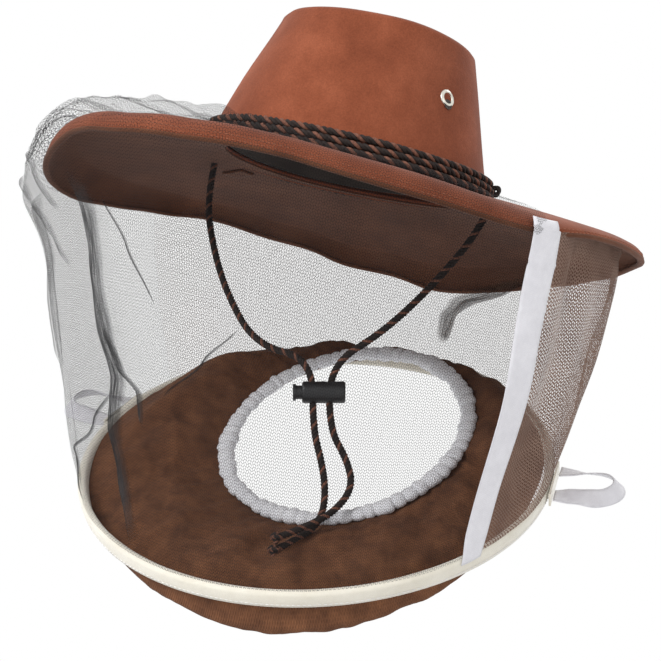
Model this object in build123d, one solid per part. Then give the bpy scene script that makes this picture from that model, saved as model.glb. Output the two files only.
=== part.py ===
from build123d import *
import math
import os

# A beekeeper's wide-brimmed hat with a full veil.  Millimetres.
# Frame: the origin is the centre of the head opening, where the crown meets the brim.
# +Z runs up the crown, -Y is the front, +X is the wearer's left.

os.makedirs("parts", exist_ok=True)

# Hat sizes
CROWN_BASE_R = 91.0
CROWN_TOP_R = 66.0
CROWN_HEIGHT = 90.0
FELT = 2.4
CROWN_DENT = 12.0
BRIM_TOP_LINE = [(87, 0), (100, -1), (140, -7), (168, -14), (188, -23), (200, -33), (204, -41)]
BRIM_FELT = 2.0
LINING = 1.0
GAP = 0.3

# Hat band
ROPE_R = 2.5
ELASTIC_R = 1.7

# Vent eyelets
EYELET_ANGLE = 80.0
EYELET_Z = 46.0
EYELET_HOLE_R = 3.5
EYELET_FLANGE_R = 6.2

# Veil hoop: a circle that hangs low at the front and is turned a little to the left
HOOP_CENTRE = (6.4, 15.0, -204.6)
HOOP_YAW = 17.0
HOOP_TILT = 37.4
HOOP_R = 156.5
WIRE_R = 1.6
CASING_HEIGHT = 12.0
CASING_WIDTH = 6.4
TAPE = 0.8

# Neck collar: steeper than the hoop
COLLAR_CENTRE = (12.0, 36.0, -180.0)
COLLAR_YAW = 10.0
COLLAR_TILT = 50.0
COLLAR_R = 84.0
RUFFLE_WIDTH = 13.0

# Nets
NET = 0.8
NET_TOP_R = 207.5
NET_TOP_Z = -44.0
NET_PANELS = 18
TAPE_WIDTH = 22.0
SEAM_WIDTH = 9.0
TAPE_BRIM_ANGLE = 78.0
SEAM_BRIM_ANGLE = -19.0
TAPE_HOOP_ANGLE = -26.0
SEAM_HOOP_ANGLE = -112.0
RIGHT_SEAM_ANGLE = -100.0

# Underarm loops
LOOP_ANGLE = 10.0
LOOP_LENGTH = 45.0
LOOP_WIDTH = 42.0
RIBBON = 12.0
RIBBON_THICK = 1.4

# Chin cord and its sprung lock
CORD_R = 2.4
LOCK_CENTRE = Vector(32, -28, -159)
PLUMB = Vector(0.081, 0.206, -0.975).normalized()
LOCK_AXIS = Vector(0.787, 0.587, 0.189).normalized()
CORD_OFFSET = 5.5
LOCK_R = 7.2
PLUNGER_R = 4.5
RUNNING_GAP = 0.1
PRESS_TRAVEL = 3.0


def save(shape, name):
    """Writes one node as a STEP file."""
    export_step(shape, f"parts/{name}.step")


def turned(points):
    """A closed outline of (radius, height) points turned about the crown's axis."""
    return revolve(section(points), Axis.Z, 360)


def section(points):
    """A closed outline of (radius, height) points as a face in the XZ plane."""
    return make_face(Polyline(*[(r, 0, z) for r, z in points], close=True))


def shifted(points, distance):
    """The points of a line moved sideways, up or outwards for a positive distance."""
    moved = []
    for i, (r, z) in enumerate(points):
        r0, z0 = points[max(i - 1, 0)]
        r1, z1 = points[min(i + 1, len(points) - 1)]
        long = math.hypot(r1 - r0, z1 - z0)
        moved.append((r - distance * (z1 - z0) / long, z + distance * (r1 - r0) / long))
    return moved


def layer(points, low, high):
    """A turned sheet between two lines, low and high above the given one."""
    return turned(shifted(points, high) + list(reversed(shifted(points, low))))


def cloth(rows, thickness, outward, ring=False):
    """A thin closed solid of flat triangles over rows of points, thickened along outward(point)."""
    lift = [[p + outward(p) * thickness for p in row] for row in rows]
    last_row, count = len(rows) - 1, len(rows[0])
    triangles = []

    def quad(a, b, c, d):
        triangles.extend([(a, b, c), (a, c, d)])

    steps = count if ring else count - 1
    for j in range(steps):
        k = (j + 1) % count
        for i in range(last_row):
            quad(rows[i][j], rows[i + 1][j], rows[i + 1][k], rows[i][k])
            quad(lift[i][j], lift[i][k], lift[i + 1][k], lift[i + 1][j])
        quad(rows[0][j], rows[0][k], lift[0][k], lift[0][j])
        quad(rows[last_row][j], lift[last_row][j], lift[last_row][k], rows[last_row][k])
    if not ring:
        for i in range(last_row):
            quad(rows[i][0], lift[i][0], lift[i + 1][0], rows[i + 1][0])
            quad(rows[i][-1], rows[i + 1][-1], lift[i + 1][-1], lift[i][-1])
    faces = [Face(Wire(Polyline(*t, close=True).edges())) for t in triangles]
    return Solid(Shell(faces))


def tilted_plane(centre, yaw, tilt):
    """The plane of a ring that hangs low at the front: X is the wearer's left, Y runs up and back."""
    return Plane(Location(centre, (0, 0, yaw)) * Location((0, 0, 0), (tilt, 0, 0)))


def ring_point(plane, radius, angle, height=0.0):
    """A point beside a ring, at an angle from the plane's own X."""
    a = math.radians(angle)
    return plane.from_local_coords((radius * math.cos(a), radius * math.sin(a), height))


def brim_point(radius, angle, z):
    """A point at an angle from the front, positive to the wearer's left."""
    a = math.radians(angle)
    return Vector(radius * math.sin(a), -radius * math.cos(a), z)


def wall_radius(z):
    """The outside radius of the crown at a height."""
    return CROWN_BASE_R - (CROWN_BASE_R - CROWN_TOP_R) * z / CROWN_HEIGHT


hoop = tilted_plane(HOOP_CENTRE, HOOP_YAW, HOOP_TILT)
collar = tilted_plane(COLLAR_CENTRE, COLLAR_YAW, COLLAR_TILT)


# ---- crown -------------------------------------------------------------------------------

def eyelet_plane(side):
    """The plane of one eyelet, on the crown's outside; side is 1 for the left, -1 for the right."""
    spot = brim_point(wall_radius(EYELET_Z), EYELET_ANGLE, EYELET_Z)
    flat = Vector(spot.X, spot.Y, 0).normalized()
    slope = (CROWN_BASE_R - CROWN_TOP_R) / CROWN_HEIGHT
    out = (flat + Vector(0, 0, slope)).normalized()
    return Plane(origin=(side * spot.X, spot.Y, spot.Z), z_dir=(side * out.X, out.Y, out.Z))


def crown_wall():
    """The felt cone round the head, with a hole for each eyelet."""
    wall = turned([(CROWN_BASE_R, 0), (CROWN_TOP_R, CROWN_HEIGHT),
                   (CROWN_TOP_R - FELT, CROWN_HEIGHT), (CROWN_BASE_R - FELT, 0)])
    for side in (1, -1):
        wall = wall - eyelet_plane(side) * Cylinder(EYELET_HOLE_R + 1.0, 16)
    return wall


def crown_top():
    """A top that rolls in from the rim and is dented in the middle."""
    top = CROWN_HEIGHT
    dent = top + 4 - CROWN_DENT
    upper = [(0, dent), (24, dent + 0.5), (38, top - 4), (48, top + 2.5), (56, top + 3.5),
             (62, top + 2.6), (CROWN_TOP_R, top)]
    lower = [(CROWN_TOP_R - FELT, top), (56, top + 1), (49, top), (39, top - 6.4),
             (24.5, dent - 1.9), (0, dent - FELT)]
    return turned(upper + lower)


def sweatband():
    """A thin band inside the crown that sits on the head."""
    low, high = 1.0, 30.0
    outer = [(wall_radius(z) - FELT - 0.4, z) for z in (low, high)]
    inner = [(r - 1.2, z) for r, z in reversed(outer)]
    return turned(outer + inner)


def eyelet(side):
    """A metal grommet: a flange on the felt and a barrel through it."""
    outline = [(EYELET_HOLE_R, -3.4), (EYELET_HOLE_R + 0.6, -3.4), (EYELET_HOLE_R + 0.6, 0.4),
               (EYELET_FLANGE_R, 0.4), (EYELET_FLANGE_R - 0.3, 0.9), (EYELET_HOLE_R + 1.2, 1.5),
               (EYELET_HOLE_R + 0.4, 1.3), (EYELET_HOLE_R, 0.7)]
    return eyelet_plane(side) * turned(outline)


save(crown_wall(), "crown_wall")
save(crown_top(), "crown_top")
save(sweatband(), "sweatband")
for name, side in (("eyelet_left", 1), ("eyelet_right", -1)):
    save(eyelet(side), name)


# ---- brim --------------------------------------------------------------------------------

lining_top = -BRIM_FELT - GAP
save(layer(BRIM_TOP_LINE, -BRIM_FELT, 0), "brim")
save(layer(BRIM_TOP_LINE, lining_top - LINING, lining_top), "brim_lining")


def brim_binding():
    """A folded tape over the lower edge of the brim."""
    edge_r, edge_z = BRIM_TOP_LINE[-1]
    inside, outside = edge_r - 4.3, edge_r + 0.6
    bottom = edge_z - 3.1
    tape = 0.8
    return turned([(inside - tape, bottom + 2.6), (inside, bottom + 2.6), (inside, bottom),
                   (outside, bottom), (outside, bottom + 5.6), (outside + tape, bottom + 5.6),
                   (outside + tape, bottom - tape), (inside - tape, bottom - tape)])


save(brim_binding(), "brim_binding")


# ---- hat band ----------------------------------------------------------------------------

def band_ring(z, radius):
    """A round cord laid round the crown, just clear of the felt."""
    return Pos(0, 0, z) * Torus(wall_radius(z) + (radius + GAP) * 1.04, radius)


rope_step = 2 * ROPE_R + GAP
for i, name in enumerate(("band_rope_lower", "band_rope_middle", "band_rope_upper")):
    save(band_ring(7.6 + i * rope_step, ROPE_R), name)
save(band_ring(2.4, ELASTIC_R), "net_top_elastic")
knot_radius = 4.2
knot_spot = brim_point(wall_radius(9) + 2 * ROPE_R + knot_radius + 1.0, 125, 10)
save(Pos(*knot_spot) * Sphere(knot_radius), "band_knot")


# ---- hoop, casing and yoke ---------------------------------------------------------------

save(hoop * Torus(HOOP_R, WIRE_R), "hoop_wire")


def hoop_sleeve():
    """A crimped ferrule over the wire's joint, at the back."""
    tube = Circle(WIRE_R + 0.5) - Circle(WIRE_R + 0.05)
    face = Plane.XZ * Pos(HOOP_R, 0) * tube
    return hoop * Rot(0, 0, 85) * revolve(face, Axis.Z, 10)


save(hoop_sleeve(), "hoop_sleeve")


def hoop_casing():
    """A tape folded over the wire, with its open edge down."""
    half_w, half_h = CASING_WIDTH / 2, CASING_HEIGHT / 2
    outer = HOOP_R + half_w
    inner = HOOP_R - half_w
    bevel = 1.5
    inner_bevel = bevel + 0.4
    outline = [(outer, -half_h), (outer, half_h - bevel), (outer - bevel, half_h),
               (inner + bevel, half_h), (inner, half_h - bevel), (inner, -half_h),
               (inner + TAPE, -half_h), (inner + TAPE, half_h - inner_bevel),
               (inner + inner_bevel, half_h - TAPE), (outer - inner_bevel, half_h - TAPE),
               (outer - TAPE, half_h - inner_bevel), (outer - TAPE, -half_h)]
    return hoop * turned(outline)


save(hoop_casing(), "hoop_casing")

YOKE_POINTS = 36
YOKE_CLOTH = 1.4
shoulder = tilted_plane(HOOP_CENTRE, HOOP_YAW, HOOP_TILT + 5)
ring_angles = [360 / YOKE_POINTS * i for i in range(YOKE_POINTS)]


def yoke():
    """The cloth from the casing over the shoulders to the neck opening."""
    low = -CASING_HEIGHT / 2 - YOKE_CLOTH - 1.2
    rows = [[ring_point(hoop, HOOP_R + 1.5, a, low) for a in ring_angles],
            [ring_point(hoop, HOOP_R - 14, a, low - 1) for a in ring_angles],
            [ring_point(shoulder, HOOP_R - 38, a, -1) for a in ring_angles],
            [ring_point(collar, COLLAR_R - 1, a, -2.2) for a in ring_angles]]
    return cloth(rows, YOKE_CLOTH, lambda p: hoop.z_dir, ring=True)


save(yoke(), "yoke")


def collar_band(inner, outer, low, high):
    """A flat ring on the neck opening."""
    ring = Circle(outer) - Circle(inner)
    return collar * Pos(0, 0, low) * extrude(ring, high - low)


save(collar_band(COLLAR_R - 2, COLLAR_R + 2, 0.4, 1.6), "neck_elastic")
save(collar_band(COLLAR_R - RUFFLE_WIDTH / 2, COLLAR_R + RUFFLE_WIDTH / 2, 1.9, 5.2), "neck_ruffle")


# ---- nets --------------------------------------------------------------------------------

HOOP_LAG = 90.0 + HOOP_YAW


def veil_point(angle, down):
    """A point on the hanging net: an angle from the front, and 0 at the brim to 1 at the casing."""
    top = brim_point(NET_TOP_R, angle, NET_TOP_Z)
    low = ring_point(hoop, HOOP_R, angle - HOOP_LAG, CASING_HEIGHT / 2 + 0.6)
    return top + (low - top) * down


def veil_out(point):
    """Straight out from the line between the brim's centre and the hoop's."""
    share = point.Z / HOOP_CENTRE[2]
    out = Vector(point.X - HOOP_CENTRE[0] * share, point.Y - HOOP_CENTRE[1] * share, 0)
    return out.normalized()


def veil_cloth(start_line, end_line, panels, layers_out, thickness, steps=4):
    """Net or tape between two lines down the veil, each an angle at the brim and one at the casing."""
    rows = []
    for i in range(steps + 1):
        down = i / steps
        start = start_line[0] + (start_line[1] - start_line[0]) * down
        end = end_line[0] + (end_line[1] - end_line[0]) * down
        angles = [start + (end - start) * j / panels for j in range(panels + 1)]
        row = [veil_point(angle, down) for angle in angles]
        rows.append([p + veil_out(p) * layers_out for p in row])
    return cloth(rows, thickness, veil_out)


tape_line = (TAPE_BRIM_ANGLE, TAPE_HOOP_ANGLE + HOOP_LAG)
fold_line = (SEAM_BRIM_ANGLE, SEAM_HOOP_ANGLE + HOOP_LAG)
right_line = (RIGHT_SEAM_ANGLE, RIGHT_SEAM_ANGLE)
left_again = (tape_line[0] - 360, tape_line[1] - 360)


def strip(line, width):
    """The two edges of a strip centred on a line down the veil."""
    top_half = math.degrees(width / 2 / NET_TOP_R)
    low_half = math.degrees(width / 2 / HOOP_R)
    left = (line[0] + top_half, line[1] + low_half)
    right = (line[0] - top_half, line[1] - low_half)
    return left, right


save(veil_cloth(tape_line, right_line, NET_PANELS, 0, NET), "front_net")
save(veil_cloth(right_line, left_again, NET_PANELS, 0, NET), "back_net")
save(veil_cloth(*strip(tape_line, TAPE_WIDTH), 2, NET + GAP, TAPE), "side_tape")
save(veil_cloth(*strip(fold_line, SEAM_WIDTH), 1, NET + 1.2, TAPE, steps=16), "side_fold")


def brim_net():
    """The part of the front net that lies over the brim, from the crown to the edge."""
    line = [(96, -0.7)] + BRIM_TOP_LINE[2:]
    outline = shifted(line, 2.4 + NET) + list(reversed(shifted(line, 2.4)))
    sweep_angle = TAPE_BRIM_ANGLE - RIGHT_SEAM_ANGLE
    return Rot(0, 0, RIGHT_SEAM_ANGLE - 90) * revolve(section(outline), Axis.Z, sweep_angle)


save(brim_net(), "brim_net")


# ---- underarm loops ----------------------------------------------------------------------

def loop_plane(angle):
    """The hinge line of one loop: X along the hoop, Y outwards, Z across the hoop's plane."""
    a = math.radians(angle)
    out = hoop.x_dir * math.cos(a) + hoop.y_dir * math.sin(a)
    spot = ring_point(hoop, HOOP_R + CASING_WIDTH / 2 + 2.6, angle)
    return Plane(origin=spot, x_dir=out.cross(hoop.z_dir), z_dir=hoop.z_dir)


def underarm_loop(angle):
    """A flat elastic ribbon that leaves the casing and comes back to it."""
    straight = LOOP_LENGTH - LOOP_WIDTH / 2

    def tongue(half):
        block = Pos(0, straight / 2 + 0.8) * Rectangle(2 * half, straight)
        return block + Pos(0, straight + 0.8) * Circle(half)

    flat = tongue(LOOP_WIDTH / 2) - tongue(LOOP_WIDTH / 2 - RIBBON)
    return loop_plane(angle) * Pos(0, 0, -RIBBON_THICK / 2) * extrude(flat, RIBBON_THICK)


def loop_tab(angle):
    """A patch sewn on the casing, which the ribbon swings from."""
    tab_thick = 1.4
    place = loop_plane(angle) * Pos(0, -2.6 + 0.7 + tab_thick / 2, 0)
    return place * Box(LOOP_WIDTH, tab_thick, 9)


for name, angle in (("left", LOOP_ANGLE), ("right", 180 - LOOP_ANGLE)):
    save(underarm_loop(angle), f"underarm_loop_{name}")
    save(loop_tab(angle), f"loop_tab_{name}")


# ---- chin cord ---------------------------------------------------------------------------

def beside_lock(across, down, forward):
    """A point near the cord lock: across along its barrel, down the plumb line, and forwards."""
    ahead = LOCK_AXIS.cross(PLUMB).normalized() * -1
    return LOCK_CENTRE + LOCK_AXIS * across + PLUMB * down + ahead * forward


left_route = [(110, 14, -12), (104, 12, -36), (86, 3, -72), (62, -12, -112),
              beside_lock(CORD_OFFSET, -18, 0), beside_lock(CORD_OFFSET, 24, 0),
              beside_lock(17, 44, 3), beside_lock(21, 62, 8), beside_lock(9, 77, 20),
              beside_lock(-10, 86, 35), beside_lock(-26, 91, 48)]
right_route = [(-110, -14, -12), (-107, -18, -32), (-90, -25, -62), (-62, -33, -98), (-22, -39, -134),
               beside_lock(-CORD_OFFSET, -22, 0), beside_lock(-CORD_OFFSET, 24, 0),
               beside_lock(1, 48, 3), beside_lock(3, 67, 7), beside_lock(0, 83, 17),
               beside_lock(-13, 93, 33), beside_lock(-28, 99, 48)]
LOCK_MOUTH_R = 17.0


def cord(route, mouth):
    """A round cord along straight runs and the largest arcs they allow, tighter at the lock's mouth."""
    points = [Vector(*p) if isinstance(p, tuple) else p for p in route]
    radii = []
    for i in range(1, len(points) - 1):
        before = points[i] - points[i - 1]
        after = points[i + 1] - points[i]
        turn = math.radians(before.get_angle(after))
        largest = 0.45 * min(before.length, after.length) / math.tan(turn / 2)
        radii.append(min(largest, LOCK_MOUTH_R) if i == mouth else largest)
    path = FilletPolyline(*points, radius=radii)
    tube = sweep(Plane(origin=path @ 0, z_dir=path % 0) * Circle(CORD_R), path=path)
    ratio = tube.volume / (math.pi * CORD_R ** 2 * path.length)
    print("cord length", round(path.length, 1), "volume ratio", round(ratio, 4))
    print("radii", [round(r, 1) for r in radii])
    return tube, path


def cord_tip(path):
    """A knotted end, a little fatter than the cord."""
    place = Plane(origin=path @ 1, z_dir=path % 1)
    return place * Pos(0, 0, 4.6) * fillet(Cylinder(3.6, 9).edges(), 2.2)


def cord_tab(path):
    """A stitched tab under the brim that the cord leaves from."""
    spot = path @ 0
    return Pos(spot.X, spot.Y, spot.Z + 2.6) * Box(14, 12, 3.6)


for name, route, mouth in (("left", left_route, 4), ("right", right_route, 5)):
    tube, path = cord(route, mouth)
    save(tube, f"chin_cord_{name}")
    save(cord_tip(path), f"cord_tip_{name}")
    save(cord_tab(path), f"cord_tab_{name}")


# ---- cord lock ---------------------------------------------------------------------------

lock = Plane(origin=LOCK_CENTRE, x_dir=PLUMB * -1, z_dir=LOCK_AXIS)
CORD_HOLE_R = CORD_R + 0.4
HOUSING_LOW, HOUSING_HIGH, END_WALL = -12.5, 16.0, 2.0
PLUNGER_LOW, PLUNGER_HIGH = -18.5, 10.3


def rod(radius, low, high):
    """A cylinder along the lock's barrel."""
    return lock * Pos(0, 0, (low + high) / 2) * Cylinder(radius, high - low)


def lock_housing():
    barrel = fillet(Cylinder(LOCK_R, HOUSING_HIGH - HOUSING_LOW).edges(), 1.6)
    body = lock * Pos(0, 0, (HOUSING_LOW + HOUSING_HIGH) / 2) * barrel
    body = body - rod(PLUNGER_R + RUNNING_GAP, HOUSING_LOW - 1, HOUSING_HIGH - END_WALL)
    for across in (CORD_OFFSET, -CORD_OFFSET):
        body = body - lock * Pos(0, 0, across) * Rot(0, 90, 0) * Cylinder(CORD_HOLE_R, 40)
    return body


def lock_button():
    """The plunger, with a slot for each cord that is as much longer as the button travels."""
    plunger = rod(PLUNGER_R, PLUNGER_LOW, PLUNGER_HIGH) + rod(PLUNGER_R + 1, PLUNGER_LOW, PLUNGER_LOW + 2)
    for across in (CORD_OFFSET, -CORD_OFFSET):
        for shift in (0, -PRESS_TRAVEL):
            hole = lock * Pos(0, 0, across + shift) * Rot(0, 90, 0) * Cylinder(CORD_HOLE_R, 40)
            plunger = plunger - hole
        middle_of_slot = lock * Pos(0, 0, across - PRESS_TRAVEL / 2)
        plunger = plunger - middle_of_slot * Box(40, 2 * CORD_HOLE_R, PRESS_TRAVEL)
    return plunger


save(lock_housing(), "lock_housing")
save(lock_button(), "lock_button")
spring_low, spring_high = PLUNGER_HIGH + 0.1, HOUSING_HIGH - END_WALL - 0.1
save(rod(3.6, spring_low, spring_high) - rod(2.4, spring_low - 1, spring_high + 1), "lock_spring")
print("loop hinge left", loop_plane(LOOP_ANGLE).origin, loop_plane(LOOP_ANGLE).x_dir)
print("loop hinge right", loop_plane(180 - LOOP_ANGLE).origin, loop_plane(180 - LOOP_ANGLE).x_dir)
print("veil hinge", ring_point(hoop, HOOP_R, 90), hoop.x_dir)
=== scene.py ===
from math import cos, degrees, exp, floor, hypot, pi, radians, sin, sqrt
import bpy
from mathutils import Matrix, Vector, noise


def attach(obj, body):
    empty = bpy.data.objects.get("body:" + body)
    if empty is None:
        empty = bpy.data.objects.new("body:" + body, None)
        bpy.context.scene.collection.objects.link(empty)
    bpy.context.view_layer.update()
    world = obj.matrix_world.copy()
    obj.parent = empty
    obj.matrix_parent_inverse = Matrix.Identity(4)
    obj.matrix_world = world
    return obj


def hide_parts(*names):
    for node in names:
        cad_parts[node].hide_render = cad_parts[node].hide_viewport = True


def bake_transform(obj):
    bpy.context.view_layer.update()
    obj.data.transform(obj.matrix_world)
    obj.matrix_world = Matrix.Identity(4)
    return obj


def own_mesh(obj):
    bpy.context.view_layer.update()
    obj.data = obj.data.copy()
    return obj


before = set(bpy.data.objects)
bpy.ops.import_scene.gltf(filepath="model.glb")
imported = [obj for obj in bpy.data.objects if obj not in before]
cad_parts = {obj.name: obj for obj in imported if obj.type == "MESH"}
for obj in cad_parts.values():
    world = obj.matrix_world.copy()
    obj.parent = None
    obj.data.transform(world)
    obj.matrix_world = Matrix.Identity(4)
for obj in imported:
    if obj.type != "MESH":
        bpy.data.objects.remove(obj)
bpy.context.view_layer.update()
scene = bpy.context.scene

# A beekeeper's hat with a full veil.  Metres and degrees, in the frame of the CAD model:
# origin at the head opening, +Z up the crown, -Y the front, +X the wearer's left.
# Angles round the hat are from the front, positive to the wearer's left.

MM = 0.001
TAU = 2 * pi

# Crown
CROWN_BASE_R = 91 * MM
CROWN_TOP_R = 66 * MM
CROWN_HEIGHT = 90 * MM
CROWN_FELT = 2.4 * MM
EYELET_ANGLE = 80
EYELET_Z = 46 * MM
CROWN_SLOPE = 0.27

# The hat's foot dips below its plane, lowest at this angle
HAT_DIP = 10 * MM
DIP_ANGLE = 70

# Brim: the radii of its section in millimetres, closer together where it curls over past its shoulder
BRIM_RADII = [
    87, 91, 96, 104, 114, 126, 138, 150, 161, 171,
    180, 186, 190, 194, 197.5, 200, 202, 203.2, 203.8, 204,
]
CROWN_FOOT_R = BRIM_RADII[1]
SHOULDER_R = 190
SHOULDER_SHARE = BRIM_RADII.index(SHOULDER_R) / (len(BRIM_RADII) - 1)
BRIM_FELT = 2.0 * MM
LINING_DEPTH = 2.3 * MM
LINING_THICKNESS = 0.9 * MM

# How far the brim hangs, in millimetres: (angle, at its shoulder, at its rim)
BRIM_HANG = [
    (-168, 26, 46), (-150, 22, 38), (-130, 16, 30), (-115, 13, 26), (-100, 16, 33), (-87, 19, 40),
    (-74, 20, 46), (-62, 19, 46), (-50, 17, 43), (-37, 14, 36), (-24, 13, 27), (-5, 16, 30),
    (11, 19, 33), (25, 22, 35), (36, 27, 41), (47, 29, 44), (57, 31, 46), (67, 34, 48), (76, 34, 46),
    (88, 30, 38), (97, 27, 34), (107, 24, 33), (120, 20, 30), (135, 17, 27), (150, 18, 30),
    (167, 20, 34), (180, 23, 40),
]
# The spread in degrees of each row of the table
HANG_SPREAD = 9

# Rings of the veil: an angle on the hoop is the hat's angle less HOOP_LAG
HOOP_CENTRE = Vector((6.4, 15.0, -204.6)) * MM
HOOP_YAW = 17.0
HOOP_TILT = 37.4
HOOP_LAG = 90 + HOOP_YAW
HOOP_R = 156.5 * MM
CASING_HEIGHT = 12 * MM
CASING_WIDTH = 6.4 * MM
COLLAR_CENTRE = Vector((12.0, 36.0, -180.0)) * MM
COLLAR_YAW = 10.0
COLLAR_TILT = 50.0
COLLAR_R = 84 * MM
RUFFLE_WIDTH = 14 * MM

# Nets
NET_TOP_R = 207.5 * MM
TAPE_BRIM_ANGLE = 75
TAPE_HOOP_ANGLE = 77
RIGHT_SEAM_ANGLE = -100
BACK_SWEEP = 185
TAPE_WIDTH = 22 * MM
MESH_CELL = 1.6 * MM
MESH_BEND = 0.22
SLACK_GAIN = 1.4

# Chin cord and lock
LOCK_CENTRE = Vector((32, -28, -159)) * MM
PLUMB = Vector((0.081, 0.206, -0.975)).normalized()
LOCK_AXIS = Vector((0.787, 0.587, 0.189)).normalized()
CORD_STEP = 0.9 * MM

# Camera: the azimuth from the front towards the wearer's left, then elevation and roll
CAMERA_AZIMUTH = 38.0
CAMERA_ELEVATION = -6.6
CAMERA_ROLL = 11.0
CAMERA_DISTANCE = 1.8
CAMERA_TARGET = Vector((8, 0, -113.5)) * MM
CAMERA_LENS = 146.0


# ---- small helpers --------------------------------------------

def smooth(x):
    """0 below 0, 1 above 1 and a soft step between."""
    x = max(0.0, min(1.0, x))
    return x * x * (3 - 2 * x)


def mix(a, b, t):
    return a + (b - a) * t


def wobble(x, y, z, seed=0.0):
    """Soft noise between about -1 and 1, the same at every run."""
    return noise.noise(Vector((x + seed, y - seed, z + 2 * seed)))


def off_by(angle, other):
    """The signed angle from other to angle, between -180 and 180."""
    return (angle - other + 180) % 360 - 180


def bell(x):
    """1 at 0, falling softly to 0 on both sides."""
    return exp(-x ** 2)


def towards(angle, other):
    """1 where two angles agree, falling to 0 a quarter turn away."""
    return max(0.0, cos(radians(angle - other)))


def new_object(name, data):
    obj = bpy.data.objects.new(name, data)
    scene.collection.objects.link(obj)
    return obj


def smooth_shade(mesh):
    mesh.polygons.foreach_set("use_smooth", [True] * len(mesh.polygons))


def grid(name, rows, material, ring=False, tube=False):
    """A surface over rows of points, with UVs in metres; ring joins the ends of each row, tube the rows."""
    count, high = len(rows[0]), len(rows)
    points = [p for row in rows for p in row]
    across = [0.0]
    middle = rows[high // 2]
    for j in range(count):
        across.append(across[-1] + (middle[(j + 1) % count] - middle[j]).length)
    along = [0.0]
    for i in range(high):
        along.append(along[-1] + (rows[(i + 1) % high][0] - rows[i][0]).length)
    faces, uvs = [], []
    for i in range(high if tube else high - 1):
        for j in range(count if ring else count - 1):
            k, n = (j + 1) % count, (i + 1) % high
            faces.append((i * count + j, i * count + k, n * count + k, n * count + j))
            uvs += [(across[j], along[i]), (across[j + 1], along[i]),
                    (across[j + 1], along[i + 1]), (across[j], along[i + 1])]
    mesh = bpy.data.meshes.new(name)
    mesh.from_pydata(points, [], faces)
    layer = mesh.uv_layers.new(name="metres")
    layer.data.foreach_set("uv", [c for uv in uvs for c in uv])
    smooth_shade(mesh)
    mesh.materials.append(material)
    mesh.update()
    return new_object(name, mesh)


def applied(obj):
    """Applies an object's modifiers to its mesh."""
    graph = bpy.context.evaluated_depsgraph_get()
    mesh = bpy.data.meshes.new_from_object(obj.evaluated_get(graph))
    obj.modifiers.clear()
    obj.data = mesh
    smooth_shade(mesh)
    return obj


def thicken(obj, thickness, offset=-1.0):
    """Gives a sheet its thickness."""
    solid = obj.modifiers.new("thickness", "SOLIDIFY")
    solid.thickness = thickness
    solid.offset = offset
    return applied(obj)


def joined(name, objects):
    """One object from several."""
    with bpy.context.temp_override(active_object=objects[0], selected_editable_objects=objects):
        bpy.ops.object.join()
    objects[0].name = name
    return objects[0]


class Ring:
    """A tilted circle: x is the wearer's left, y runs up and back, z stands up from its plane."""

    def __init__(self, centre, yaw, tilt):
        a, t = radians(yaw), radians(tilt)
        self.centre = centre
        self.x = Vector((cos(a), sin(a), 0))
        self.y = Vector((-sin(a) * cos(t), cos(a) * cos(t), sin(t)))
        self.z = self.x.cross(self.y)

    def point(self, radius, angle, height=0.0):
        a = radians(angle)
        return self.centre + (self.x * cos(a) + self.y * sin(a)) * radius + self.z * height


hoop = Ring(HOOP_CENTRE, HOOP_YAW, HOOP_TILT)
collar = Ring(COLLAR_CENTRE, COLLAR_YAW, COLLAR_TILT)


def around(radius, angle, z):
    """A point round the crown's axis."""
    a = radians(angle)
    return Vector((radius * sin(a), -radius * cos(a), z))


def full_turn(steps):
    """Even angles round a whole turn."""
    return [360 * j / steps for j in range(steps)]


def circle(centre, a, b, radius, sides):
    """The points of a circle in the plane of two directions."""
    turns = [TAU * k / sides for k in range(sides)]
    return [centre + (a * cos(w) + b * sin(w)) * radius for w in turns]


# ---- materials ------------------------------------------------

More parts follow.
